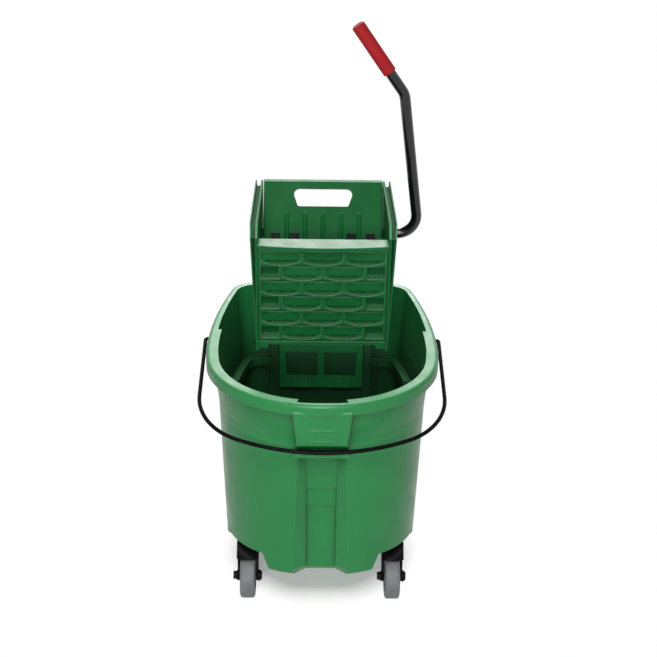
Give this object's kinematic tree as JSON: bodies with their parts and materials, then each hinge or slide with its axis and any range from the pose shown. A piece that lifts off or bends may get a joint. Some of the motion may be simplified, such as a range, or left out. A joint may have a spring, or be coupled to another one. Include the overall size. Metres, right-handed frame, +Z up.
{
  "type": "mop bucket with wringer",
  "caption": "Green wheeled mop bucket with pour lip, wire bail and a lift-off side-press wringer: a bent lever turns pinions that swing a press plate against a pocketed front panel.",
  "frame": {"origin": "on the floor under the middle of the overall box", "axes": "+Z up, -Y towards the pour lip at the front, +X towards the lever"},
  "size_m": [0.403, 0.5164, 0.9281],
  "materials": {
    "green_shell": "moulded, satin",
    "black_steel": "gloss black coat",
    "black_nylon": "matte",
    "red_grip": "satin, moulded",
    "zinc_steel": "plain zinc",
    "caster_steel": "satin black coat",
    "wheel_core": "moulded, matte",
    "grey_tread": "matte"
  },
  "bodies": {
    "bucket": {"tub": "green_shell", "caster_screws": "zinc_steel", "caster_plate_fl": "caster_steel", "caster_kingpin_fl": "caster_steel", "caster_plate_fr": "caster_steel", "caster_kingpin_fr": "caster_steel", "caster_plate_rl": "caster_steel", "caster_kingpin_rl": "caster_steel", "caster_plate_rr": "caster_steel", "caster_kingpin_rr": "caster_steel"},
    "bail": {"bail_arm_left": "black_steel", "bail_arm_right": "black_steel", "bail_bow": "black_steel"},
    "wringer": {"side_left": "green_shell", "side_right": "green_shell", "front_panel": "green_shell", "drip_grid": "green_shell", "rear_frame": "green_shell", "wringer_screws": "caster_steel", "hinge_rod": "zinc_steel", "hinge_clips": "zinc_steel", "shaft_bushes": "black_nylon"},
    "press": {"press_plate": "green_shell", "sector_left": "black_nylon", "sector_right": "black_nylon"},
    "lever": {"lever_tube": "black_steel", "pinion_left": "black_nylon", "pinion_right": "black_nylon", "pinion_pins": "zinc_steel", "lever_grip": "red_grip", "shaft_cap": "black_nylon"},
    "fork_fl": {"caster_fork_fl": "caster_steel", "caster_axle_fl": "caster_steel", "caster_nut_fl": "caster_steel"},
    "wheel_fl": {"caster_hub_fl": "wheel_core", "caster_tread_fl": "grey_tread"},
    "fork_fr": {"caster_fork_fr": "caster_steel", "caster_axle_fr": "caster_steel", "caster_nut_fr": "caster_steel"},
    "wheel_fr": {"caster_hub_fr": "wheel_core", "caster_tread_fr": "grey_tread"},
    "fork_rl": {"caster_fork_rl": "caster_steel", "caster_axle_rl": "caster_steel", "caster_nut_rl": "caster_steel"},
    "wheel_rl": {"caster_hub_rl": "wheel_core", "caster_tread_rl": "grey_tread"},
    "fork_rr": {"caster_fork_rr": "caster_steel", "caster_axle_rr": "caster_steel", "caster_nut_rr": "caster_steel"},
    "wheel_rr": {"caster_hub_rr": "wheel_core", "caster_tread_rr": "grey_tread"}
  },
  "joints": [
    {"name": "bail_swing", "type": "hinge", "parent": "bucket", "child": "bail", "pos_m": [0, 0.00264, 0.415], "axis": [-1, 0, 0], "range_deg": [0, 100]},
    {"name": "wringer_lift", "type": "slide", "parent": "bucket", "child": "wringer", "axis": [0, 0, 1], "range_m": [0, 0.4]},
    {"name": "lever_pull", "type": "hinge", "parent": "wringer", "child": "lever", "pos_m": [0, 0.22153, 0.54396], "axis": [-1, 0, 0], "range_deg": [0, 98]},
    {"name": "press_swing", "type": "hinge", "parent": "wringer", "child": "press", "pos_m": [0, 0.10864, 0.425], "axis": [1, 0, 0], "range_deg": [0, 23.8]},
    {"name": "swivel_fl", "type": "hinge", "parent": "bucket", "child": "fork_fl", "pos_m": [-0.122, -0.11536, 0.1], "axis": [0, 0, 1], "continuous": true},
    {"name": "roll_fl", "type": "hinge", "parent": "fork_fl", "child": "wheel_fl", "pos_m": [-0.122, -0.13436, 0.038], "axis": [1, 0, 0], "continuous": true},
    {"name": "swivel_fr", "type": "hinge", "parent": "bucket", "child": "fork_fr", "pos_m": [0.122, -0.11536, 0.1], "axis": [0, 0, 1], "continuous": true},
    {"name": "roll_fr", "type": "hinge", "parent": "fork_fr", "child": "wheel_fr", "pos_m": [0.122, -0.13436, 0.038], "axis": [1, 0, 0], "continuous": true},
    {"name": "swivel_rl", "type": "hinge", "parent": "bucket", "child": "fork_rl", "pos_m": [-0.122, 0.13064, 0.1], "axis": [0, 0, 1], "continuous": true},
    {"name": "roll_rl", "type": "hinge", "parent": "fork_rl", "child": "wheel_rl", "pos_m": [-0.122, 0.11164, 0.038], "axis": [1, 0, 0], "continuous": true},
    {"name": "swivel_rr", "type": "hinge", "parent": "bucket", "child": "fork_rr", "pos_m": [0.122, 0.13064, 0.1], "axis": [0, 0, 1], "continuous": true},
    {"name": "roll_rr", "type": "hinge", "parent": "fork_rr", "child": "wheel_rr", "pos_m": [0.122, 0.11164, 0.038], "axis": [1, 0, 0], "continuous": true}
  ],
  "couplings": [
    {"joint": "press_swing", "follows": "lever_pull", "ratio": 0.24242}
  ]
}
